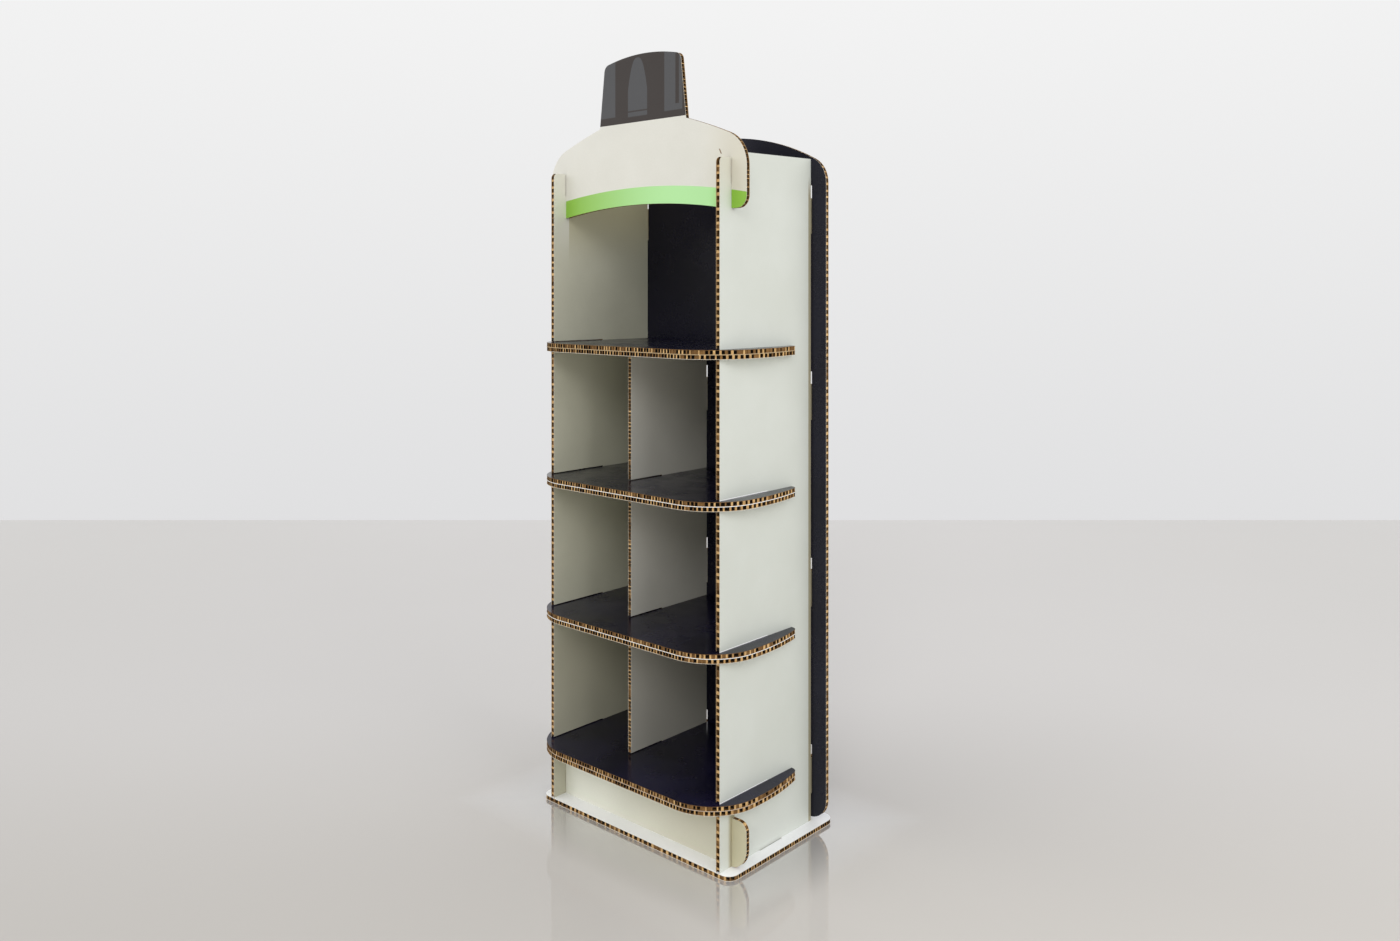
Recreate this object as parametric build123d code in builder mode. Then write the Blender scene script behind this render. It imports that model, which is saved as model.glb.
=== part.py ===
"""Free-standing cardboard display stand, slotted together from flat honeycomb board.

X runs to the right, Y to the back and Z up. The origin is the middle of the base plate's underside.
"""
import os
from math import atan2, ceil, degrees, sqrt

from build123d import *

os.makedirs("parts", exist_ok=True)

# Board and its open cells along the cut edges
board = 10
liner = 0.9
cell_pitch = 30
cell_lap = 0.6
cell_depth = 6

# Fits between the slotted boards
side_fit = 0.3
end_fit = 0.5
shelf_play = 2
tab_play = 2.4

# Base plate
base_width = 600
base_corner = 25
base_tail = 40.5

# Side panels
side_margin = 31
panel_setback = 3
panel_depth = 320.5
panel_height = 1518
finger_drop = 15
top_slope = 6
finger_corner = 12

# Bottom tabs of the side panels
tab_start = 132
tab_length = 76
tab_reach = 9

# Hook tabs on the back edges
hook_rows = 4
lowest_hook = 63
top_hook_drop = 166
hook_neck = 82
hook_drop = 28
hook_lip = 22
hook_corner = 6
hook_slot_play = 2
hook_side_play = 3

# Shelves
shelf_count = 4
shelf_room = 297.5
shelf_overhang = 48.4
wing_reach = 36.3
wing_length = 247
wing_curve = 550
wing_widest = 97
shelf_front_corner = 120
wing_tip_corner = 18

# Divider
divider_offset = 57.5
divider_setback = 57

# Back panel
back_ear = 43
back_gap = 9
back_rise = 75
back_arch = 600
back_upper_corner = 65
back_lower_corner = 47

# Header panel
header_setback = 38
header_ear = 42
header_overlap = 107
header_arch_rise = 21.5
header_side_height = 141.5
shoulder_rise = 63.5
header_neck_width = 276
header_cap_width = 243
header_cap_side = 145
header_cap_rise = 15
shoulder_curve = 1400
ear_corner = 26
shoulder_corner = 80
cap_corner = 17

# Plinth board
plinth_setback = 38
plinth_height = 124.3
plinth_ear = 41
plinth_ear_height = 103
plinth_slot = 52
plinth_upper_corner = 20
plinth_lower_corner = 46

# Slack when corners and edges are picked by their place
near = 1

# Places worked out from the sizes
base_top = board
base_depth = panel_setback + panel_depth + board + base_tail
panel_front = -base_depth / 2 + panel_setback
panel_back = panel_front + panel_depth
panel_middle = panel_front + panel_depth / 2
panel_outer = base_width / 2 - side_margin
panel_inner = panel_outer - board
panel_line = panel_outer - board / 2
panel_top = base_top + panel_height
finger_top = panel_top - finger_drop
header_front = panel_front + header_setback
header_bottom = finger_top - header_overlap
header_seat = finger_top - header_overlap / 2
plinth_front = panel_front + plinth_setback
plinth_top = base_top + plinth_height
plinth_seat = base_top + plinth_slot
shelf_thickness = 2 * board
lowest_shelf_top = plinth_top + shelf_thickness
shelf_pitch = shelf_room + shelf_thickness
shelf_tops = [lowest_shelf_top + shelf_pitch * (shelf_count - 1 - n) for n in range(shelf_count)]
divider_top = shelf_tops[0] - shelf_thickness
lowest_hook_height = base_top + lowest_hook
hook_spacing = (panel_top - top_hook_drop - lowest_hook_height) / (hook_rows - 1)
hook_heights = [lowest_hook_height + hook_spacing * n for n in range(hook_rows)]
divider_hooks = [height for height in hook_heights if height + hook_neck < divider_top]


def cut_slot(left, right, bottom, top):
    """Cut the rectangle between four limits out of the outline in hand."""
    with Locations(((left + right) / 2, (bottom + top) / 2)):
        Rectangle(right - left, top - bottom, mode=Mode.SUBTRACT)


def corners_at(outline, height):
    """Corners of an outline at a given height."""
    return outline.vertices().filter_by_position(Axis.Y, height - near, height + near)


def outermost(corners):
    """The leftmost and the rightmost of some corners."""
    in_order = corners.sort_by(Axis.X)
    return [in_order[0], in_order[-1]]


def cell_mouths(edge):
    """Even places along a cut edge where the board's cells stand open."""
    count = ceil(edge.length / cell_pitch)
    places = []
    for n in range(count):
        spot = edge @ ((n + 0.5) / count)
        along = edge % ((n + 0.5) / count)
        places.append(Location((spot.X, spot.Y, 0), (0, 0, degrees(atan2(along.Y, along.X)))))
    return places


def lay_up(face, outline, open_edges):
    """Lay a liner, a core with open cells along its cut edges, and a liner on a face."""
    extrude(face * outline.sketch, amount=liner)
    mouths = [place for edge in open_edges for place in cell_mouths(edge)]
    with BuildSketch() as core:
        add(outline.sketch)
        with Locations(*mouths):
            half = cell_pitch / 2 + cell_lap
            Polygon((-half, 0), (0, -cell_depth), (half, 0), (0, cell_depth), mode=Mode.SUBTRACT)
    extrude(face.offset(liner) * core.sketch, amount=board - 2 * liner)
    extrude(face.offset(board - liner) * outline.sketch, amount=liner)


def finish(piece, name):
    """Label a finished piece and write it."""
    piece.label = name
    export_step(piece, f"parts/{name}.step")


# Hook tab, seen from the side, from the panel's back edge through the back panel and down behind it
with BuildSketch() as hook_outline:
    with BuildLine():
        Polyline(
            (-board / 2, 0),
            (board + side_fit, 0),
            (board + side_fit, -hook_drop),
            (board + side_fit + hook_lip, -hook_drop),
            (board + side_fit + hook_lip, hook_neck),
            (-board / 2, hook_neck),
            close=True,
        )
    make_face()
    chamfer(hook_outline.vertices().group_by(Axis.X)[-1], hook_corner)

# Side panel, seen from the side
with BuildSketch() as side_outline:
    with BuildLine():
        Polyline(
            (panel_front, base_top),
            (panel_front, finger_top),
            (header_front + board, finger_top),
            (header_front + board, panel_top),
            (panel_back, panel_top + top_slope),
            (panel_back, base_top),
            close=True,
        )
    make_face()
    fillet(side_outline.vertices().group_by(Axis.X)[0].sort_by(Axis.Y)[-1], finger_corner)
    with Locations(*[(panel_back, height) for height in hook_heights]):
        add(hook_outline.sketch)
    with Locations((panel_front + tab_start + tab_length / 2, base_top - tab_reach / 2)):
        Rectangle(tab_length, tab_reach)
    for top in shelf_tops:
        cut_slot(panel_front - board, panel_middle, top - shelf_thickness, top + shelf_play)
    cut_slot(header_front - side_fit, header_front + board + side_fit, header_seat, panel_top + board)
    cut_slot(plinth_front - side_fit, plinth_front + board + side_fit, base_top - board, plinth_seat)

side_front_edges = side_outline.edges().filter_by(Axis.Y).group_by(Axis.X)[0]
side_top_edges = side_outline.edges().filter_by(
    lambda edge: edge.center().Y > finger_top - near and abs((edge % 0.5).X) > abs((edge % 0.5).Y)
)

# Divider, seen from the side
divider_front = panel_front + divider_setback
with BuildSketch() as divider_outline:
    with BuildLine():
        Polyline(
            (divider_front, base_top),
            (divider_front, divider_top),
            (panel_back, divider_top),
            (panel_back, base_top),
            close=True,
        )
    make_face()
    with Locations(*[(panel_back, height) for height in divider_hooks]):
        add(hook_outline.sketch)
    for top in shelf_tops[1:]:
        cut_slot(divider_front - board, panel_middle, top - shelf_thickness, top + shelf_play)

divider_front_edges = divider_outline.edges().filter_by(Axis.Y).group_by(Axis.X)[0]

# Shelf, seen from above, with a wing outside each side panel
shelf_front = panel_front - shelf_overhang
shelf_back = panel_back - side_fit
wing_back = panel_front + wing_length
wing_outer = panel_outer + wing_reach
slot_outer = panel_outer + side_fit
slot_inner = panel_inner - side_fit
slot_end = panel_middle - end_fit
widest = panel_front + wing_widest


def wing_edge(y):
    """Distance from the middle to the wing's bulging edge, a slack arc."""
    return wing_outer - wing_curve + sqrt(wing_curve**2 - (y - widest) ** 2)


def shelf_sketch(with_divider):
    """One shelf board, slotted from the back for the upright boards."""
    with BuildSketch() as outline:
        with BuildLine():
            Line((0, shelf_front), (wing_edge(shelf_front), shelf_front))
            RadiusArc((wing_edge(shelf_front), shelf_front), (wing_edge(wing_back), wing_back), -wing_curve)
            Polyline(
                (wing_edge(wing_back), wing_back),
                (slot_outer, wing_back),
                (slot_outer, slot_end),
                (slot_inner, slot_end),
                (slot_inner, shelf_back),
                (0, shelf_back),
            )
            mirror(about=Plane.YZ)
        make_face()
        fillet(outline.vertices().group_by(Axis.Y)[0], shelf_front_corner)
        fillet(outermost(corners_at(outline, wing_back)), wing_tip_corner)
        if with_divider:
            middle = -divider_offset
            half = board / 2 + side_fit
            cut_slot(middle - half, middle + half, slot_end, panel_back + board)
    return outline


def shelf_rim(outline):
    """The rim that shows: the front and the outer edges of both wings."""
    return outline.edges().filter_by(
        lambda edge: edge.center().Y < panel_front or abs(edge.center().X) > slot_outer + near
    )


plain_shelf = shelf_sketch(False)
divided_shelf = shelf_sketch(True)

# Base plate, seen from above, with a loose slot for each bottom tab
with BuildSketch() as base_outline:
    RectangleRounded(base_width, base_depth, base_corner)
    for side in (-1, 1):
        with Locations((side * panel_line, panel_front + tab_start + tab_length / 2)):
            Rectangle(board + 2 * tab_play, tab_length + 2 * end_fit, mode=Mode.SUBTRACT)

base_edges = base_outline.face().outer_wire().edges()

# Back panel, seen from the front, with an upright slot for each hook tab
back_half = panel_outer + back_ear
back_bottom = base_top + back_gap
back_top = panel_top + back_rise
back_side_top = back_top - back_arch + sqrt(back_arch**2 - back_half**2)
slot_height = hook_neck + hook_drop + hook_slot_play
with BuildSketch() as back_outline:
    with BuildLine():
        Polyline(
            (-back_half, back_side_top),
            (-back_half, back_bottom),
            (back_half, back_bottom),
            (back_half, back_side_top),
        )
        ThreePointArc((-back_half, back_side_top), (0, back_top), (back_half, back_side_top))
    make_face()
    fillet(back_outline.vertices().group_by(Axis.Y)[-1], back_upper_corner)
    fillet(back_outline.vertices().group_by(Axis.Y)[0], back_lower_corner)
    for side in (-1, 1):
        with Locations(*[(side * panel_line, z + slot_height / 2) for z in hook_heights]):
            Rectangle(board + 2 * hook_side_play, slot_height, mode=Mode.SUBTRACT)
    with Locations(*[(-divider_offset, z + slot_height / 2) for z in divider_hooks]):
        Rectangle(board + 2 * hook_side_play, slot_height, mode=Mode.SUBTRACT)

back_edges = back_outline.face().outer_wire().edges()

# Header panel, seen from the front, a bottle's shoulders and cap
header_half = panel_outer + header_ear
header_shoulder = header_bottom + header_side_height
header_neck = header_shoulder + shoulder_rise
header_cap_side_top = header_neck + header_cap_side
header_peak = header_cap_side_top + header_cap_rise
with BuildSketch() as header_outline:
    with BuildLine():
        Polyline(
            (panel_inner, header_bottom),
            (header_half, header_bottom),
            (header_half, header_shoulder),
        )
        RadiusArc((header_half, header_shoulder), (header_neck_width / 2, header_neck), -shoulder_curve)
        Line((header_neck_width / 2, header_neck), (header_cap_width / 2, header_cap_side_top))
        mirror(about=Plane.YZ)
        ThreePointArc(
            (-header_cap_width / 2, header_cap_side_top),
            (0, header_peak),
            (header_cap_width / 2, header_cap_side_top),
        )
        ThreePointArc(
            (-panel_inner, header_bottom),
            (0, header_bottom + header_arch_rise),
            (panel_inner, header_bottom),
        )
    make_face()
    fillet(corners_at(header_outline, header_shoulder), shoulder_corner)
    fillet(corners_at(header_outline, header_cap_side_top), cap_corner)
    fillet(outermost(corners_at(header_outline, header_bottom)), ear_corner)
    for side in (-1, 1):
        middle = side * panel_line
        half = board / 2 + side_fit
        cut_slot(middle - half, middle + half, header_bottom - board, header_seat)


def clear_of_slots(edge):
    """Whether an edge of the header lies away from its two slots."""
    beside = abs(abs(edge.center().X) - panel_line) > board
    return beside or edge.center().Y > header_seat + near


header_edges = header_outline.edges().filter_by(clear_of_slots)

# Plinth board, seen from the front, with an ear outside each side panel
plinth_half = panel_outer + plinth_ear
plinth_ear_top = base_top + plinth_ear_height
with BuildSketch() as plinth_outline:
    with Locations((0, (base_top + plinth_ear_top) / 2)):
        Rectangle(2 * plinth_half, plinth_ear_top - base_top)
    fillet(plinth_outline.vertices().group_by(Axis.Y)[-1], plinth_upper_corner)
    fillet(plinth_outline.vertices().group_by(Axis.Y)[0], plinth_lower_corner)
    with Locations((0, (base_top + plinth_top) / 2)):
        Rectangle(2 * slot_inner, plinth_top - base_top)
    for side in (-1, 1):
        middle = side * panel_line
        half = board / 2 + side_fit
        cut_slot(middle - half, middle + half, plinth_seat, plinth_top + board)

plinth_edges = plinth_outline.edges().filter_by(lambda edge: abs(edge.center().X) > slot_outer + near)

with BuildPart() as base_plate:
    lay_up(Plane.XY, base_outline, base_edges)
finish(base_plate.part, "base_plate")

with BuildPart() as left_side_panel:
    lay_up(Plane.YZ.offset(-panel_outer), side_outline, side_front_edges + side_top_edges)
finish(left_side_panel.part, "left_side_panel")

with BuildPart() as right_side_panel:
    lay_up(Plane.YZ.offset(panel_inner), side_outline, side_front_edges + side_top_edges)
finish(right_side_panel.part, "right_side_panel")

with BuildPart() as divider:
    lay_up(Plane.YZ.offset(-divider_offset - board / 2), divider_outline, divider_front_edges)
finish(divider.part, "divider")

with BuildPart() as back_panel:
    lay_up(Plane.XZ.offset(-panel_back - board), back_outline, back_edges)
finish(back_panel.part, "back_panel")

with BuildPart() as header_panel:
    lay_up(Plane.XZ.offset(-header_front - board), header_outline, header_edges)
finish(header_panel.part, "header_panel")

with BuildPart() as plinth_board:
    lay_up(Plane.XZ.offset(-plinth_front - board), plinth_outline, plinth_edges)
finish(plinth_board.part, "plinth_board")

for number, top in enumerate(shelf_tops, start=1):
    outline = plain_shelf if number == 1 else divided_shelf
    with BuildPart() as upper_board:
        lay_up(Plane.XY.offset(top - board), outline, shelf_rim(outline))
    finish(upper_board.part, f"shelf_{number}_upper_board")
    with BuildPart() as lower_board:
        lay_up(Plane.XY.offset(top - shelf_thickness), outline, shelf_rim(outline))
    finish(lower_board.part, f"shelf_{number}_lower_board")
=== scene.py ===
"""Dresses the cardboard display stand: printed liners, open honeycomb cores and the printed header."""
import math
from functools import reduce

import bmesh
import bpy
import numpy as np
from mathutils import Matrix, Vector
from mathutils.geometry import tessellate_polygon


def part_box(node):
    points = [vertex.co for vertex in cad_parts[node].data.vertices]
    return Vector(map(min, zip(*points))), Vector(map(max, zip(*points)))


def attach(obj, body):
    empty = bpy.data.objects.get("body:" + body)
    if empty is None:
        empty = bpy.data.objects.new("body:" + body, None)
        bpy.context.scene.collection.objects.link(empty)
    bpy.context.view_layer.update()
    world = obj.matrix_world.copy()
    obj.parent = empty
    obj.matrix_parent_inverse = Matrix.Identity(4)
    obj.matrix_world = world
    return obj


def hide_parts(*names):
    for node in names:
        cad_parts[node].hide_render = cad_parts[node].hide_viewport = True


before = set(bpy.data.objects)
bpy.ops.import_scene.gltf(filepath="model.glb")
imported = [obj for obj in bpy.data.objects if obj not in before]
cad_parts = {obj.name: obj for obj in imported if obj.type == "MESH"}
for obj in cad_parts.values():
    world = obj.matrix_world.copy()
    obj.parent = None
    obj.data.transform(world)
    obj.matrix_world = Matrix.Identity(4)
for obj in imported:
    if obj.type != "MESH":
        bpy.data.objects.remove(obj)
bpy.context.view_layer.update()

# Axes, by number
X, Y, Z = range(3)

# Shelves, each of an upper and a lower board, numbered from the top
SHELVES = 4

# Reading the outlines of the boards, in metres and decimal places
SAME_PLACE = 1e-5
MICROMETRES = 6

# Honeycomb board, in metres
LINER = 0.0007         # thickness of a liner
PAPER = 0.0005         # thickness of the paper between the liners
CLOSE_PITCH = 0.0088   # from wall to wall on an edge along the board's close axis
WIDE_PITCH = 0.0150    # from wall to wall on an edge across that axis
SHADY_PITCH = 0.0125   # closer cells than this are mostly in shade
CORE_SETBACK = 0.0006  # from the cut edge to the mouths of the cells
FLAP_DEPTH = 0.0018    # from the mouths to a flap folded across a cell
WALL_DEPTH = 0.0055    # from the cut edge to the inner end of a wall
POCKET_DEPTH = 0.0095  # from the cut edge to the fold that closes a cell
LIP = 0.0009           # height and extra half width of a wall's flared lip

# Cut walls, as shares of the pitch
WALL_SHIFT = 0.08   # most that a wall stands beside its even place
WALL_LEAN = 0.16    # most that its inner end stands beside its mouth
LEAST_MOUTH = 0.10  # least half width of a mouth on an even board
MOST_MOUTH = 0.18   # most half width of a mouth on an even board
LEAST_CRUSH = 0.08  # what crushing can take off the least
MOST_CRUSH = 0.16   # what crushing can add to the most
WIDE_MOUTH = 0.10   # extra half width, as a share of the pitch beyond the close one
LEAST_LIP = 0.20    # where the half width of a lip ends, at the least
MOST_LIP = 0.40     # where it ends, at the most

# Cut walls, as shares of those in closer cells
DEEP_SHARE = 0.85    # flanks in deep shade
DARK_MOUTH_SHARE = 0.40  # mouths of a darker paper

# Slots of the side panels, in metres
SLOT_PLAY = 0.003   # a little over the play above a shelf in its slot
SLOT_WEAR = 0.0015  # wear in front of the header and the plinth in their slots
TOUCH = 0.0001      # gap over a shelf where a liner closes the play

# Material slots of a board's liners, and of its cells
TOP_PRINT, TOP_EDGE, INSIDE, BOTTOM_PRINT, BOTTOM_EDGE = range(5)
CUT, PLAIN, DEEP_SHADE = range(3)

# Below, a pair says where a tint is nil and where it is full, unless its comment says otherwise.
# Places are in metres, sideways from the middle of the stand and upwards from the floor.

# Print of the side panels, with its painted shade and highlights
REAR_SHADE_WIDTH = 0.0095          # painted shade, a darker strip along the rear edge beside the back panel
REAR_SHADE_HEIGHTS = (1.50, 1.44)
HEADER_SHADE_DEPTH = 0.06             # from the header's back to where its warm painted shade is nil
HEADER_SHADE_HEIGHTS = (1.40, 1.50)
HEADER_SHADE_SHARE = 0.6
EAR_SHADE = 0.014             # how far the shade reaches in front of the plinth's ear
EAR_SOFTNESS = 0.004          # half height of that shade's soft upper edge
SLOT_HIGHLIGHT_HEIGHT = 0.0022            # height of the painted white highlight over a shelf slot

# Painted light and shade on the print of the inner faces and the plinth
INNER_HEADER_LIGHT_AND_SHADE = (1.28, 1.44)
LOWEST_SHADE_HEIGHTS = (0.44, 0.36)
PLINTH_SHADE = (-0.26, 0.22)

# Print of the header, with its painted sheen and shade
STRIPE_TOP = 1.4668           # top of the stripe's arch at the middle
STRIPE_DROP = 0.2922          # its drop, per metre from the middle squared
STRIPE_SHEEN = (-0.30, 0.12)
STRIPE_SHEEN_END = (0.27, 0.20)
HEADER_RIGHT_SHADE = (0.16, 0.30)
CAP_LINE = 1.6166             # lower end of the dark cap
TEAR_PLACE = (0.238, 1.529)   # middle of the small tear, sideways and up
TEAR_SLANT = 0.5              # how far it goes to the left on its way up
TEAR_WIDTH = (0.0022, 0.0008)
TEAR_LENGTH = (0.0065, 0.0045)
GLARE_SOFTNESS = 0.0015       # half width of a pale reflection's soft edge
ARCH_MIDDLE = -0.013          # middle of the arched reflection
ARCH_TOP = 1.764
ARCH_POWER = 2.6
ARCH_DROP = 620.0             # its drop, per metre from its middle to that power
PAST_TOP = 1.8                # any height above the cap

# Patterns of the ink and the paper, as shares and as ranges of a noise
INK_CLOUDS = 0.7              # share of the clouds, and the rest is grain
INK_RANGE = (0.35, 0.65)
KRAFT_CLOUDS = 0.6            # share of the clouds, and the rest is fibres
KRAFT_RANGE = (0.3, 0.7)
VARNISH_RANGE = (0.3, 0.7)

# Roughness and depth of the finishes
SATIN = 0.45
HEADER_SATIN = 0.36
SMOOTH = 0.22
SMOOTHER = 0.06               # how much less rough the smoothest patches of varnish are
ROUGHER = 0.08                # how much rougher the roughest are
KRAFT_ROUGHNESS = 0.85
RIM_ROUGHNESS = 0.8
VARNISH_RIPPLE = 0.00003
FIBRE_RELIEF = 0.00005

# Polished floor, which reflects more the nearer it is to the base, with painted shade there and towards
# its sides and front
POLISH_AND_SHADE_REACH = 0.17           # width of the polish and of the painted shade around the base
POLISH_IOR = 2.95             # what full polish adds to the floor's own
FLOOR_IOR = 1.25
FLOOR_ROUGHNESS = 0.03
FLOOR_SIDE = (1.2, 3.0)       # where its sides darken in painted shade
FLOOR_FRONT = (0.8, -0.7)     # where its front darkens in painted shade
FLOOR_HALF = 9                # half its width, and how far it reaches in front
FLOOR_BACK = 3.35             # where the floor ends and the backdrop starts

# Light from all round, and the slope of view at the backdrop's darker and paler ends
AMBIENT = 0.84
BACKDROP = (-0.19, 0.24)

# Point that the far lamps shine at
STAND_MIDDLE = (0, 0, 0.9)

# Camera fitted to the photograph, in metres, pixels, degrees and millimetres of sensor
FRAME_WIDTH = 1400
FRAME_HEIGHT = 941
FOCAL_PIXELS = 1129
HORIZON_ROW = 289
CAMERA_PLACE = (1.8201, -1.9694, 1.2344)
CAMERA_TURN = 41.98
SENSOR = 36

# Colour sockets of a Mix node, by number
MIX_FIRST, MIX_SECOND, MIX_RESULT = 6, 7, 2


def plane_axes(node):
    """A board's thickness axis, and the two axes of its own plane."""
    low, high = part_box(node)
    size = [high[axis] - low[axis] for axis in (X, Y, Z)]
    thin = size.index(min(size))
    return thin, [axis for axis in (X, Y, Z) if axis != thin]


def outline_loops(node):
    """The edge loops of a board's outer face, in its own plane, with the one round the board first."""
    thin, flat = plane_axes(node)
    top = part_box(node)[1][thin]
    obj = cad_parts[node]
    places = [obj.matrix_world @ vertex.co for vertex in obj.data.vertices]
    # An edge between two faces runs both ways and drops out, so only the rims are left
    edges = {}
    for polygon in obj.data.polygons:
        corners = [places[n] for n in polygon.vertices]
        if all(abs(corner[thin] - top) < SAME_PLACE for corner in corners):
            keys = [tuple(round(corner[axis], MICROMETRES) for axis in flat) for corner in corners]
            for start, end in zip(keys, keys[1:] + keys[:1]):
                if (end, start) in edges:
                    del edges[(end, start)]
                else:
                    edges[(start, end)] = True
    following = dict(edges.keys())
    loops = []
    while following:
        start, point = following.popitem()
        loop = [start]
        while point != start:
            loop.append(point)
            point = following.pop(point)
        loops.append(np.array(loop))
    return sorted(loops, key=lambda loop: -abs(signed_area(loop)))


def signed_area(loop):
    """Area inside a loop, positive when it runs anticlockwise."""
    x, y = loop[:, 0], loop[:, 1]
    return 0.5 * float(np.sum(x * np.roll(y, -1) - y * np.roll(x, -1)))


def in_space(points, plane, height):
    """Points of a board's plane, set at a height along its thickness axis."""
    thin, flat = plane
    out = np.empty((len(points), 3))
    out[:, flat] = points
    out[:, thin] = height
    return out


def new_piece(name, vertices, faces, materials, face_slots):
    """A mesh object with outward faces that rides on the stand."""
    mesh = bpy.data.meshes.new(name)
    mesh.from_pydata([tuple(vertex) for vertex in vertices], [], faces)
    for material in materials:
        mesh.materials.append(material)
    mesh.polygons.foreach_set("material_index", face_slots)
    # Turns every face outward, whichever way round it was written
    shell = bmesh.new()
    shell.from_mesh(mesh)
    bmesh.ops.recalc_face_normals(shell, faces=shell.faces)
    shell.to_mesh(mesh)
    shell.free()
    piece = bpy.data.objects.new(name, mesh)
    bpy.context.collection.objects.link(piece)
    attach(piece, "root")
    return piece


def plate(loops, plane, low, high, print_above, print_below, edge):
    """Vertices, faces and material slots of a flat closed plate with the given loops."""
    points = np.vstack(loops)
    count = len(points)
    vertices = np.vstack([in_space(points, plane, height) for height in (low, high)])
    faces = []
    slots = []
    for corners in tessellate_polygon([[Vector((*point, 0)) for point in loop] for loop in loops]):
        faces += [tuple(corner + count for corner in corners), tuple(reversed(corners))]
        slots += [print_above, print_below]
    first = 0
    for loop in loops:
        for n in range(len(loop)):
            a, b = first + n, first + (n + 1) % len(loop)
            faces.append((a, b, b + count, a + count))
            slots.append(edge)
        first += len(loop)
    return vertices, faces, slots


def inside(points, loops):
    """Whether each point lies on the board, by counting the edges to its right."""
    count = np.zeros(len(points), dtype=int)
    for loop in loops:
        for start, end in zip(loop, np.roll(loop, -1, axis=0)):
            run, rise = end - start
            if rise != 0:
                spans = (start[1] > points[:, 1]) != (end[1] > points[:, 1])
                right = points[:, 0] < start[0] + (points[:, 1] - start[1]) * run / rise
                count += spans & right
    return count % 2 == 1


def on_board(corners, loops):
    """Whether all four corners of each wall lie on the board."""
    return inside(corners.reshape(-1, 2), loops).reshape(len(corners), 4).all(axis=1)


def rim_walls(loop, side, close_axis, phase):
    """Where cell walls meet a cut edge: their places, directions into the board and spacing."""
    rows = []
    for start, end in zip(loop, np.roll(loop, -1, axis=0)):
        length = math.dist(start, end)
        along = (end - start) / length
        pitch = CLOSE_PITCH + (WIDE_PITCH - CLOSE_PITCH) * along[1 - close_axis] ** 2
        inward = (-along[1] * side, along[0] * side)
        for number in range(math.ceil(phase), math.ceil(phase + length / pitch)):
            place = start + along * (number - phase) * pitch
            rows.append((*place, *inward, pitch))
        phase += length / pitch
    return np.array(rows).reshape(-1, 5)


def ring(start, end, edge, start_half, end_half):
    """Corners of walls in a board's plane, from half widths along the edge at each end."""
    near = edge * start_half[:, None]
    far = edge * end_half[:, None]
    return np.stack([start + near, end + far, end - far, start - near], axis=1)


def cut_walls(loop, loops, side, close_axis, crushed, fullness, chance):
    """Crushed walls at the mouths of one loop's cut cells, and the folded paper behind them."""
    rows = rim_walls(loop, side, close_axis, chance.uniform(-1, 0))
    count = len(rows)
    place, inward, pitch = rows[:, :2], rows[:, 2:4], rows[:, 4]
    edge = np.stack([inward[:, 1], -inward[:, 0]], axis=-1)
    paper = np.full(count, PAPER / 2)

    # Walls, each widest at its mouth, and wider still at the lips by the liners
    shift = edge * (pitch * chance.uniform(-WALL_SHIFT, WALL_SHIFT, count))[:, None]
    lean = edge * (pitch * chance.uniform(-WALL_LEAN, WALL_LEAN, count))[:, None]
    mouth = place + inward * CORE_SETBACK + shift
    root = place + inward * WALL_DEPTH + shift + lean
    least = LEAST_MOUTH - LEAST_CRUSH * crushed
    most = MOST_MOUTH + MOST_CRUSH * crushed
    half = pitch * chance.uniform(least, most, count) + (pitch - CLOSE_PITCH) * WIDE_MOUTH
    half *= fullness
    lip_half = np.minimum(half + LIP, pitch * chance.uniform(LEAST_LIP, MOST_LIP, count))
    waist = ring(mouth, root, edge, half, paper)
    flare = ring(mouth, root, edge, np.maximum(lip_half, half), paper)
    flare = np.where(on_board(flare, loops)[:, None, None], flare, waist)
    kept = on_board(waist, loops)

    # Two sheets that close each cell at a fold behind its walls
    following = np.roll(root, -1, axis=0)
    fold = (root + following) / 2 + inward * (POCKET_DEPTH - WALL_DEPTH)
    near = np.hypot(*(following - root).T) < 2 * pitch
    backs = []
    for first in (root, following):
        sheet = ring(first, fold, edge, paper, paper)
        backs.append(sheet[near & on_board(sheet, loops)])

    # Flaps folded across some of the cells
    shallow = mouth + inward * FLAP_DEPTH
    flaps = ring(shallow, np.roll(shallow, -1, axis=0), -side * inward, paper, paper)
    folded = near & on_board(flaps, loops) & (chance.uniform(0, 1, count) < crushed)

    # Mouths take the cut paper or, for some, the darker flank paper; flanks in deep shade take the deep
    # kraft as painted shade
    closer = pitch < SHADY_PITCH
    shady = closer & (chance.uniform(0, 1, count) < DEEP_SHARE)
    dark_mouth = chance.uniform(0, 1, count) < np.where(closer, DARK_MOUTH_SHARE, crushed)
    tones = np.stack([np.where(dark_mouth, PLAIN, CUT), np.where(shady, DEEP_SHADE, PLAIN)], axis=1)
    return flare[kept], waist[kept], np.vstack(backs), flaps[folded], tones[kept]


def prisms(levels, heights, plane, first):
    """Vertices and faces of upright pieces with the given rings at each height."""
    count = len(levels[0])
    rings = [in_space(level.reshape(-1, 2), plane, height) for level, height in zip(levels, heights)]
    vertices = np.concatenate([corners.reshape(count, 4, 3) for corners in rings], axis=1)
    size = 4 * len(levels)
    last = size - 4
    shape = [(3, 2, 1, 0), (last, last + 1, last + 2, last + 3)]
    for low in range(0, last, 4):
        for n in range(4):
            following = low + (n + 1) % 4
            shape.append((low + n, following, following + 4, low + n + 4))
    # Seen along y, the other two axes run the other way round
    if plane[0] == Y:
        shape = [tuple(reversed(face)) for face in shape]
    faces = [tuple(first + size * n + corner for corner in face) for n in range(count) for face in shape]
    return vertices.reshape(-1, 3), faces


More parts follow.
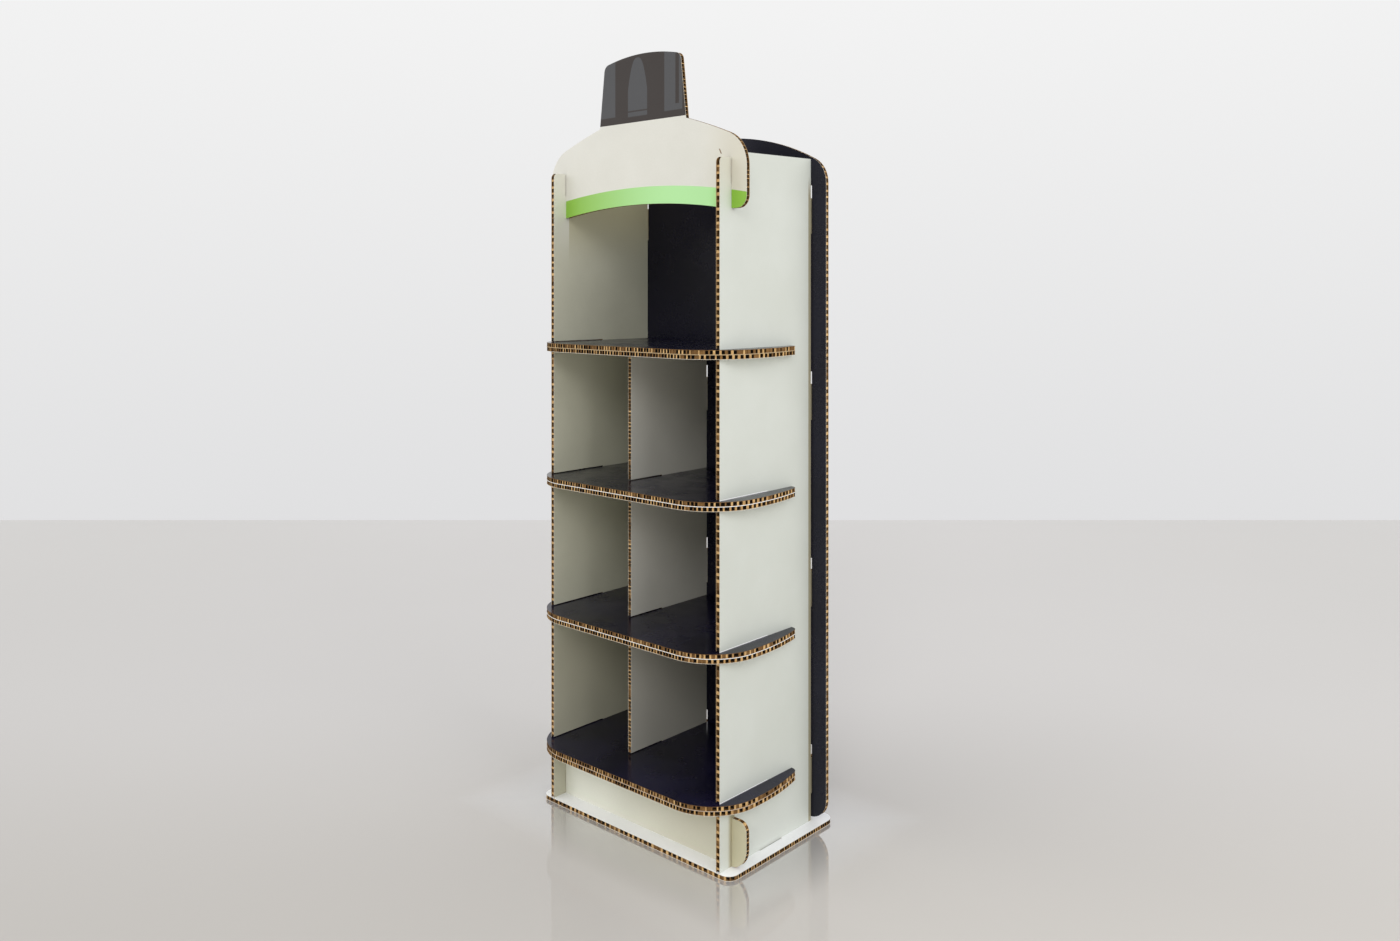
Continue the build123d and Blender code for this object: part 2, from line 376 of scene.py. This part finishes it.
def core_piece(node, loops, plane, low, high, close_axis, crushed, fullness):
    """The paper of a board's cut cells, which stands from liner to liner."""
    chance = np.random.default_rng(sum(ord(letter) for letter in node))
    side = 1 if signed_area(loops[0]) > 0 else -1
    walls = [cut_walls(loop, loops, side, close_axis, crushed, fullness, chance) for loop in loops]
    flare, waist, backs, flaps, tones = [np.vstack(parts) for parts in zip(*walls)]
    lip_heights = [low, low + LIP, high - LIP, high]
    vertices, faces = prisms([flare, waist, waist, flare], lip_heights, plane, 0)
    slots = []
    # A wall has two ends, and three storeys of three flanks and a mouth
    for mouth, flank in tones.tolist():
        slots += [flank, flank] + [flank, flank, flank, mouth] * 3
    # The folds deep in the cells take the deep kraft as painted deep shade, the flaps the plain kraft
    for sheets, tone in ((backs, DEEP_SHADE), (flaps, PLAIN)):
        more_vertices, more_faces = prisms([sheets, sheets], [low, high], plane, len(vertices))
        vertices = np.vstack([vertices, more_vertices])
        faces += more_faces
        slots += [tone] * len(more_faces)
    new_piece(f"{node}_cells", vertices, faces, [cut_kraft, kraft, deep_shade_kraft], slots)


def shelf_tops():
    """Heights of the shelves' upper faces, from the top shelf down."""
    return [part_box(f"shelf_{number}_upper_board")[1][Z] for number in range(1, SHELVES + 1)]


def snug(loops):
    """A side panel's loops with the play above each shelf taken out of its slots."""
    closed = [loop.copy() for loop in loops]
    for top in shelf_tops():
        for loop in closed:
            loop[(loop[:, 1] > top) & (loop[:, 1] < top + SLOT_PLAY), 1] = top + TOUCH
    return closed


def gaping(loops):
    """A side panel's loops with its slots for the header and plinth worn a little wider in front."""
    worn = [loop.copy() for loop in loops]
    for node in ("header_panel", "plinth_board"):
        low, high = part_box(node)
        for loop in worn:
            beside = (loop[:, 1] > low[Z] - SLOT_PLAY) & (loop[:, 1] < high[Z])
            in_front = abs(loop[:, 0] - low[Y]) < SLOT_WEAR
            loop[beside & in_front, 0] = low[Y] - SLOT_WEAR
    return worn


def board(node, top_print, bottom_print, close_axis,
          crushed=0.08, top_edge=None, bottom_edge=None, fullness=1):
    """Replace a board by two printed liners and the paper cells between them.

    Edges along close_axis cut the cells at the close pitch. How battered the cut walls are
    goes from 0 to 1 in crushed, and fullness scales the width of their mouths.
    """
    plane = plane_axes(node)
    thin, flat = plane
    low, high = [corner[thin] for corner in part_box(node)]
    loops = outline_loops(node)
    if node.endswith("side_panel"):
        loops = gaping(loops)
    # The outermost liner of each side panel closes the play over the shelves
    upper_loops = snug(loops) if node == "right_side_panel" else loops
    lower_loops = snug(loops) if node == "left_side_panel" else loops
    upper = plate(upper_loops, plane, high - LINER, high, TOP_PRINT, INSIDE, TOP_EDGE)
    lower = plate(lower_loops, plane, low, low + LINER, INSIDE, BOTTOM_PRINT, BOTTOM_EDGE)
    offset = len(upper[0])
    vertices = np.vstack([upper[0], lower[0]])
    faces = upper[1] + [tuple(n + offset for n in face) for face in lower[1]]
    materials = [top_print, top_edge or paper_edge, kraft, bottom_print, bottom_edge or paper_edge]
    liners = new_piece(f"{node}_liners", vertices, faces, materials, upper[2] + lower[2])
    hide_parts(node)
    close = flat.index(close_axis)
    core_piece(node, loops, plane, low + LINER, high - LINER, close, crushed, fullness)


class Nodes:
    """A short way to write a material's nodes."""

    def __init__(self, name):
        self.material = bpy.data.materials.new(name)
        self.material.use_nodes = True
        self.tree = self.material.node_tree
        self.shader = self.tree.nodes["Principled BSDF"]
        self.place = self.tree.nodes.new("ShaderNodeTexCoord").outputs["Object"]

    def link(self, source, target):
        """Feed a socket from another socket or a plain value."""
        if isinstance(source, bpy.types.NodeSocket):
            self.tree.links.new(source, target)
        else:
            target.default_value = source

    def paint(self, colour):
        """Give the surface its colour."""
        self.link(colour, self.shader.inputs["Base Color"])

    def math(self, operation, *values):
        """One sum on one to three values."""
        node = self.tree.nodes.new("ShaderNodeMath")
        node.operation = operation
        for source, target in zip(values, node.inputs):
            self.link(source, target)
        return node.outputs[0]

    def chain(self, operation, *values):
        """A sum of two values, done again with each further value."""
        return reduce(lambda result, value: self.math(operation, result, value), values)

    def product(self, *values):
        """Values multiplied together."""
        return self.chain("MULTIPLY", *values)

    def size(self, value):
        """A value without its sign."""
        return self.math("ABSOLUTE", value)

    def mingle(self, share, first, second):
        """A share of one pattern, and the second pattern for the rest."""
        return self.math("ADD", self.product(first, share), self.product(second, 1 - share))

    def noise(self, scale, detail=4.0, stretch=(1, 1, 1), roughness=0.55):
        """Cloudy noise over the object, stretched along its axes."""
        mapping = self.tree.nodes.new("ShaderNodeMapping")
        mapping.inputs["Scale"].default_value = stretch
        self.tree.links.new(self.place, mapping.inputs["Vector"])
        node = self.tree.nodes.new("ShaderNodeTexNoise")
        node.inputs["Scale"].default_value = scale
        node.inputs["Detail"].default_value = detail
        node.inputs["Roughness"].default_value = roughness
        self.tree.links.new(mapping.outputs[0], node.inputs["Vector"])
        return node.outputs["Fac"]

    def axes(self):
        """The object's x, y and z at the shaded point."""
        node = self.tree.nodes.new("ShaderNodeSeparateXYZ")
        self.tree.links.new(self.place, node.inputs[0])
        return node.outputs

    def step(self, value, threshold):
        """One where the value is above the threshold, and nothing below it."""
        return self.math("GREATER_THAN", value, threshold)

    def band(self, value, low, high, to_low=0.0, to_high=1.0):
        """Ease a value's range on to another."""
        node = self.tree.nodes.new("ShaderNodeMapRange")
        node.interpolation_type = "SMOOTHSTEP"
        for target, source in zip(node.inputs[:5], (value, low, high, to_low, to_high)):
            self.link(source, target)
        return node.outputs[0]

    def blend(self, share, first, second):
        """Mix two colours."""
        node = self.tree.nodes.new("ShaderNodeMix")
        node.data_type = "RGBA"
        self.link(share, node.inputs["Factor"])
        self.link(first, node.inputs[MIX_FIRST])
        self.link(second, node.inputs[MIX_SECOND])
        return node.outputs[MIX_RESULT]

    def bump(self, height, distance):
        """Raise the surface by a height pattern."""
        node = self.tree.nodes.new("ShaderNodeBump")
        node.inputs["Distance"].default_value = distance
        self.tree.links.new(height, node.inputs["Height"])
        self.tree.links.new(node.outputs[0], self.shader.inputs["Normal"])


def linear(red, green, blue):
    """A colour written as it looks on a screen, from 0 to 255."""
    def one(value):
        value /= 255
        return value / 12.92 if value <= 0.04045 else ((value + 0.055) / 1.055) ** 2.4
    return one(red), one(green), one(blue), 1.0


def ink(nodes, colour, shade):
    """Even ink with faint clouds and a fine grain."""
    clouds = nodes.noise(scale=6.0, detail=5.0)
    grain = nodes.noise(scale=420.0, detail=3.0)
    pattern = nodes.mingle(INK_CLOUDS, clouds, grain)
    return nodes.blend(nodes.band(pattern, *INK_RANGE), shade, colour)


def varnish(nodes, roughness):
    """A slightly uneven gloss over faintly rippled paper."""
    clouds = nodes.noise(scale=14.0, detail=6.0)
    uneven = nodes.band(clouds, *VARNISH_RANGE, roughness - SMOOTHER, roughness + ROUGHER)
    nodes.link(uneven, nodes.shader.inputs["Roughness"])
    nodes.bump(nodes.noise(scale=160.0, detail=3.0), VARNISH_RIPPLE)


def printed_liner(name, colour, shade, roughness=SATIN, shine=0.5):
    """Board liner printed in one colour."""
    nodes = Nodes(name)
    nodes.paint(ink(nodes, colour, shade))
    nodes.shader.inputs["Specular IOR Level"].default_value = shine
    varnish(nodes, roughness)
    return nodes.material


def side_print():
    """Cream print of the side panels, with painted shade along its rear edge, by the header and beside
    the plinth's ear, and a painted highlight over the slots of the lower shelves.
    """
    nodes = Nodes("side_print")
    _, y, z = nodes.axes()
    face = ink(nodes, linear(214, 217, 209), linear(209, 212, 203))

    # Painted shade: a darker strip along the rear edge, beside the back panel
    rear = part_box("back_panel")[0][Y]
    strip = nodes.product(nodes.step(y, rear - REAR_SHADE_WIDTH), nodes.band(z, *REAR_SHADE_HEIGHTS))
    face = nodes.blend(strip, face, linear(163, 156, 130))

    # Painted shade, warmer and darker, by the header and fading out behind it
    header_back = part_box("header_panel")[1][Y]
    header_shade = nodes.band(y, header_back + HEADER_SHADE_DEPTH, header_back)
    warm = nodes.product(header_shade, nodes.band(z, *HEADER_SHADE_HEIGHTS, 0.0, HEADER_SHADE_SHARE))
    face = nodes.blend(warm, face, linear(205, 200, 180))

    # Shade beside the plinth's ear
    low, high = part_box("plinth_board")
    beside_ear = nodes.product(nodes.band(y, low[Y] - EAR_SHADE, low[Y]), nodes.step(high[Y], y))
    shade = nodes.product(beside_ear, nodes.band(z, high[Z] + EAR_SOFTNESS, high[Z] - EAR_SOFTNESS))
    face = nodes.blend(shade, face, linear(176, 168, 136))

    # Painted highlight, a white line over the slot of each shelf but the top one
    outline = outline_loops("right_side_panel")[0]
    front_half = outline[outline[:, 0] < rear / 2]
    for top in shelf_tops()[1:]:
        slot_end = front_half[abs(front_half[:, 1] - top) < SLOT_PLAY, 0].max()
        line = nodes.product(nodes.step(z, top), nodes.step(top + SLOT_HIGHLIGHT_HEIGHT, z), nodes.step(slot_end, y))
        face = nodes.blend(line, face, linear(252, 252, 250))
    nodes.paint(face)
    varnish(nodes, SATIN)
    return nodes.material


def shaded_inner_print(name, colour, shade, header_shade, lowest_shade):
    """Cream print of an inner face in painted shade, with painted light in front of the header, a warmer
    painted shade behind it and a duller painted shade in the bottom compartment.
    """
    nodes = Nodes(name)
    _, y, z = nodes.axes()
    plain = ink(nodes, colour, shade)
    header_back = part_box("header_panel")[1][Y]
    # Painted light in front of the header, and painted shade behind it and in the bottom compartment
    upper = nodes.blend(nodes.step(y, header_back), linear(224, 222, 209), header_shade)
    face = nodes.blend(nodes.band(z, *INNER_HEADER_LIGHT_AND_SHADE), plain, upper)
    nodes.paint(nodes.blend(nodes.band(z, *LOWEST_SHADE_HEIGHTS), face, lowest_shade))
    varnish(nodes, SATIN)
    return nodes.material


def plinth_print():
    """Cream print of the plinth, darkening to the right in painted shade, and yellower on its ears in
    painted shade.
    """
    nodes = Nodes("plinth_print")
    x = nodes.axes()[X]
    shade = nodes.band(x, *PLINTH_SHADE)
    colour = nodes.blend(shade, linear(235, 235, 221), linear(208, 204, 184))
    darker = nodes.blend(shade, linear(229, 229, 215), linear(202, 198, 178))
    ear = nodes.step(nodes.size(x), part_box("right_side_panel")[0][X])
    nodes.paint(nodes.blend(ear, ink(nodes, colour, darker), linear(205, 198, 166)))
    varnish(nodes, SATIN)
    return nodes.material


def header_tear(nodes, x, z):
    """Share of bare board in the small slanted tear beside the slot."""
    up = nodes.math("SUBTRACT", z, TEAR_PLACE[1])
    across = nodes.math("SUBTRACT", x, TEAR_PLACE[0])
    apart = nodes.size(nodes.math("MULTIPLY_ADD", up, TEAR_SLANT, across))
    return nodes.product(nodes.band(apart, *TEAR_WIDTH), nodes.band(nodes.size(up), *TEAR_LENGTH))


def cap_glare(nodes, x, z):
    """Share of pale reflection on the dark cap."""
    off_middle = nodes.size(nodes.math("SUBTRACT", x, ARCH_MIDDLE))
    fall = nodes.product(nodes.math("POWER", off_middle, ARCH_POWER), ARCH_DROP)
    arch = nodes.math("SUBTRACT", ARCH_TOP, fall)
    # Left, right, lower and upper edge of each reflection
    reflections = [
        (-0.150, -0.086, 1.634, 1.762),
        (-0.044, 0.018, 1.6435, arch),
        (-0.044, 0.018, 1.6300, 1.6405),
        (0.072, 0.106, 1.632, PAST_TOP),
        (0.117, 0.127, 1.632, PAST_TOP),
        (0.072, 0.127, 1.632, 1.646),
    ]
    shares = []
    for left, right, low, high in reflections:
        from_left = nodes.band(x, left - GLARE_SOFTNESS, left + GLARE_SOFTNESS)
        to_right = nodes.band(x, right + GLARE_SOFTNESS, right - GLARE_SOFTNESS)
        across = nodes.product(from_left, to_right)
        from_below = nodes.band(z, low - GLARE_SOFTNESS, low + GLARE_SOFTNESS)
        upright = nodes.product(from_below, nodes.step(high, z))
        shares.append(nodes.product(across, upright))
    return nodes.chain("MAXIMUM", *shares)


def header_print():
    """Cream header print with a green stripe along its arch and a dark cap with pale reflections, a
    painted sheen on the stripe and painted shade towards its right end.
    """
    nodes = Nodes("header_print")
    x, _, z = nodes.axes()
    cream_ink = ink(nodes, linear(230, 228, 218), linear(224, 222, 211))
    # Painted shade, warmer and darker towards the right, where the side panel shades the header
    face = nodes.blend(nodes.band(x, *HEADER_RIGHT_SHADE), cream_ink, linear(220, 215, 198))

    # Green stripe, with a painted sheen that is palest right of the middle
    stripe_line = nodes.math("SUBTRACT", STRIPE_TOP, nodes.product(x, x, STRIPE_DROP))
    pale = nodes.product(nodes.band(x, *STRIPE_SHEEN), nodes.band(x, *STRIPE_SHEEN_END))
    green = nodes.blend(pale, linear(140, 192, 58), linear(184, 238, 164))
    face = nodes.blend(nodes.step(stripe_line, z), face, green)
    face = nodes.blend(header_tear(nodes, x, z), face, linear(122, 92, 52))

    # Dark cap
    cap = nodes.blend(cap_glare(nodes, x, z), linear(50, 42, 38), linear(74, 74, 76))
    nodes.paint(nodes.blend(nodes.step(z, CAP_LINE), face, cap))
    varnish(nodes, HEADER_SATIN)
    return nodes.material


def kraft_paper(name, dark_tone, light_tone):
    """Unbleached paper of the cell walls, with fibres and darker cloudy patches."""
    nodes = Nodes(name)
    fibres = nodes.noise(scale=900.0, stretch=(1, 1, 0.25))
    clouds = nodes.noise(scale=60.0)
    pattern = nodes.mingle(KRAFT_CLOUDS, clouds, fibres)
    nodes.paint(nodes.blend(nodes.band(pattern, *KRAFT_RANGE), dark_tone, light_tone))
    nodes.shader.inputs["Roughness"].default_value = KRAFT_ROUGHNESS
    nodes.bump(fibres, FIBRE_RELIEF)
    return nodes.material


def paper_rim(name, dark_tone, light_tone):
    """The core of the liner, seen as a fine line along each cut edge."""
    nodes = Nodes(name)
    nodes.paint(nodes.blend(nodes.noise(scale=300.0, detail=3.0), dark_tone, light_tone))
    nodes.shader.inputs["Roughness"].default_value = RIM_ROUGHNESS
    return nodes.material


def camera():
    """Level camera at the photograph's place, with its frame shifted down."""
    data = bpy.data.cameras.new("camera")
    data.sensor_width = SENSOR
    data.lens = SENSOR * FOCAL_PIXELS / FRAME_WIDTH
    data.shift_y = -(FRAME_HEIGHT / 2 - HORIZON_ROW) / FRAME_WIDTH
    eye = bpy.data.objects.new("camera", data)
    eye.location = CAMERA_PLACE
    eye.rotation_euler = (math.radians(90), 0, math.radians(CAMERA_TURN))
    bpy.context.collection.objects.link(eye)
    bpy.context.scene.camera = eye


def hang_lamp(name, data, place, target):
    """Hang a lamp at a place, shining at a target and left out of reflections."""
    lamp = bpy.data.objects.new(name, data)
    lamp.location = place
    lamp.rotation_euler = (Vector(target) - Vector(place)).to_track_quat("-Z", "Y").to_euler()
    lamp.visible_glossy = False
    bpy.context.collection.objects.link(lamp)


def soft_box(name, place, target, size, power):
    """A square soft box."""
    data = bpy.data.lights.new(name, "AREA")
    data.size = size
    data.energy = power
    hang_lamp(name, data, place, target)


def soft_light(name, place, spread, strength):
    """A very large soft box far off in the direction of a place."""
    data = bpy.data.lights.new(name, "SUN")
    data.angle = math.radians(spread)
    data.energy = strength
    hang_lamp(name, data, place, STAND_MIDDLE)


def surroundings():
    """Light from all round, and a pale backdrop that only the camera and reflections see."""
    world = bpy.data.worlds.new("studio")
    bpy.context.scene.world = world
    world.use_nodes = True
    tree = world.node_tree
    light = tree.nodes["Background"]
    light.inputs["Color"].default_value = linear(236, 238, 240)
    light.inputs["Strength"].default_value = AMBIENT
    direction = tree.nodes.new("ShaderNodeTexCoord")
    apart = tree.nodes.new("ShaderNodeSeparateXYZ")
    height = tree.nodes.new("ShaderNodeMapRange")
    height.inputs["From Min"].default_value = BACKDROP[0]
    height.inputs["From Max"].default_value = BACKDROP[1]
    wall = tree.nodes.new("ShaderNodeMix")
    wall.data_type = "RGBA"
    wall.inputs[MIX_FIRST].default_value = linear(224, 224, 225)
    wall.inputs[MIX_SECOND].default_value = linear(243, 243, 243)
    backdrop = tree.nodes.new("ShaderNodeBackground")
    path = tree.nodes.new("ShaderNodeLightPath")
    either = tree.nodes.new("ShaderNodeMath")
    either.operation = "MAXIMUM"
    pick = tree.nodes.new("ShaderNodeMixShader")
    links = [
        (direction.outputs["Generated"], apart.inputs[0]),
        (apart.outputs["Z"], height.inputs["Value"]),
        (height.outputs[0], wall.inputs["Factor"]),
        (wall.outputs[MIX_RESULT], backdrop.inputs["Color"]),
        (path.outputs["Is Camera Ray"], either.inputs[0]),
        (path.outputs["Is Glossy Ray"], either.inputs[1]),
        (either.outputs[0], pick.inputs[0]),
        (light.outputs[0], pick.inputs[1]),
        (backdrop.outputs[0], pick.inputs[2]),
        (pick.outputs[0], tree.nodes["World Output"].inputs[0]),
    ]
    for source, target in links:
        tree.links.new(source, target)


def beyond_base(nodes, x, y):
    """How far a point of the turned floor lies outside the base plate."""
    low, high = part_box("base_plate")
    turn = math.radians(CAMERA_TURN)
    across = nodes.math("MULTIPLY_ADD", x, math.cos(turn), nodes.product(y, -math.sin(turn)))
    along = nodes.math("MULTIPLY_ADD", x, math.sin(turn), nodes.product(y, math.cos(turn)))
    outside = []
    for value, axis in ((across, X), (along, Y)):
        middle, reach = (low[axis] + high[axis]) / 2, (high[axis] - low[axis]) / 2
        apart = nodes.size(nodes.math("SUBTRACT", value, middle))
        outside.append(nodes.math("SUBTRACT", apart, reach))
    return nodes.math("MAXIMUM", *outside)


def studio_floor():
    """Pale floor, turned square to the camera, most polished around the base, and darker there and at
    its sides and front in painted shade.
    """
    nodes = Nodes("studio_floor")
    x, y, _ = nodes.axes()
    paint = nodes.blend(nodes.noise(scale=0.8, detail=2.0), linear(209, 205, 202), linear(213, 209, 206))
    # Painted shade towards the sides, the front and around the base
    paint = nodes.blend(nodes.band(nodes.size(x), *FLOOR_SIDE), paint, linear(208, 204, 200))
    paint = nodes.blend(nodes.band(y, *FLOOR_FRONT), paint, linear(199, 194, 188))
    polish_and_shade = nodes.band(beyond_base(nodes, x, y), 0.0, POLISH_AND_SHADE_REACH, 1.0, 0.0)
    nodes.paint(nodes.blend(polish_and_shade, paint, linear(187, 183, 180)))
    nodes.link(nodes.math("MULTIPLY_ADD", polish_and_shade, POLISH_IOR, FLOOR_IOR), nodes.shader.inputs["IOR"])
    nodes.shader.inputs["Roughness"].default_value = FLOOR_ROUGHNESS

    half, back = FLOOR_HALF, FLOOR_BACK
    corners = [(-half, -half, 0), (half, -half, 0), (half, back, 0), (-half, back, 0)]
    mesh = bpy.data.meshes.new("floor")
    mesh.from_pydata(corners, [], [(0, 1, 2, 3)])
    mesh.materials.append(nodes.material)
    floor = bpy.data.objects.new("floor", mesh)
    floor.rotation_euler = (0, 0, math.radians(CAMERA_TURN))
    bpy.context.collection.objects.link(floor)


def studio():
    """Pale floor, pale surroundings and soft boxes."""
    bpy.context.scene.view_settings.view_transform = "Standard"
    surroundings()
    studio_floor()
    soft_box("side", place=(3.4, -0.3, 2.1), target=(0.3, 0, 1.0), size=2.4, power=43)
    soft_light("front", place=(-3.1, -3.0, 3.0), spread=60, strength=0.80)
    soft_light("front_right", place=(2.4, -3.6, 3.4), spread=24, strength=0.60)


# Paper
# The cut mouths are lighter for their torn paper; the darker kraft of the flanks is partly painted
# shade, and the deep kraft is painted deep shade
cut_kraft = kraft_paper("cut_kraft_paper", linear(156, 115, 66), linear(231, 192, 132))
kraft = kraft_paper("kraft_paper", linear(98, 68, 34), linear(146, 108, 60))
deep_shade_kraft = kraft_paper("deep_kraft_paper", linear(13, 8, 4), linear(34, 23, 11))
paper_edge = paper_rim("paper_edge", linear(206, 194, 172), linear(240, 235, 222))
white_edge = paper_rim("white_paper_edge", linear(246, 245, 240), linear(252, 251, 248))
tan_edge = paper_rim("tan_paper_edge", linear(176, 150, 112), linear(208, 186, 150))
dull_edge = paper_rim("dull_paper_edge", linear(186, 164, 142), linear(212, 194, 174))

# Prints
cream = printed_liner("cream_print", linear(222, 223, 208), linear(216, 217, 202))
white = printed_liner("white_print", linear(251, 251, 252), linear(247, 247, 248))
dark = printed_liner("dark_print", linear(22, 21, 38), linear(17, 16, 30), SMOOTH, shine=0.30)
deep_dark = printed_liner("deep_dark_print", linear(25, 23, 47), linear(13, 12, 23), SMOOTH, shine=0.20)
plinth_face = plinth_print()
side_face = side_print()
header_face = header_print()
# The inner faces and the divider take darker copies of the cream print, as painted shade
shaded_inner_face = shaded_inner_print(
    "shaded_inner_print", linear(210, 208, 188), linear(203, 201, 181),
    header_shade=linear(190, 184, 152), lowest_shade=linear(192, 189, 169)
)
shaded_divider_face = shaded_inner_print(
    "shaded_divider_print", linear(208, 205, 196), linear(202, 199, 190),
    header_shade=linear(208, 205, 196), lowest_shade=linear(186, 183, 174)
)

# Boards
board("base_plate", white, white, Y, crushed=0.2)
board("left_side_panel", shaded_inner_face, side_face, Y)
board("right_side_panel", side_face, shaded_inner_face, Y, top_edge=tan_edge, bottom_edge=tan_edge)
board("divider", shaded_divider_face, shaded_inner_face, Z)
board("back_panel", dark, dark, X)
board("plinth_board", cream, plinth_face, Z)
board("header_panel", cream, header_face, Z, top_edge=tan_edge, fullness=0.5)

# Shelves from the top down, by the print on top and the edges where the two boards meet
shelves = [(dark, tan_edge), (dark, white_edge), (deep_dark, white_edge), (deep_dark, dull_edge)]
for number, (top_print, inner) in enumerate(shelves, start=1):
    upper, lower = f"shelf_{number}_upper_board", f"shelf_{number}_lower_board"
    board(upper, top_print, paper_edge, X, crushed=0.35, top_edge=kraft, bottom_edge=inner)
    board(lower, paper_edge, cream, X, crushed=0.12, top_edge=inner)

camera()
studio()
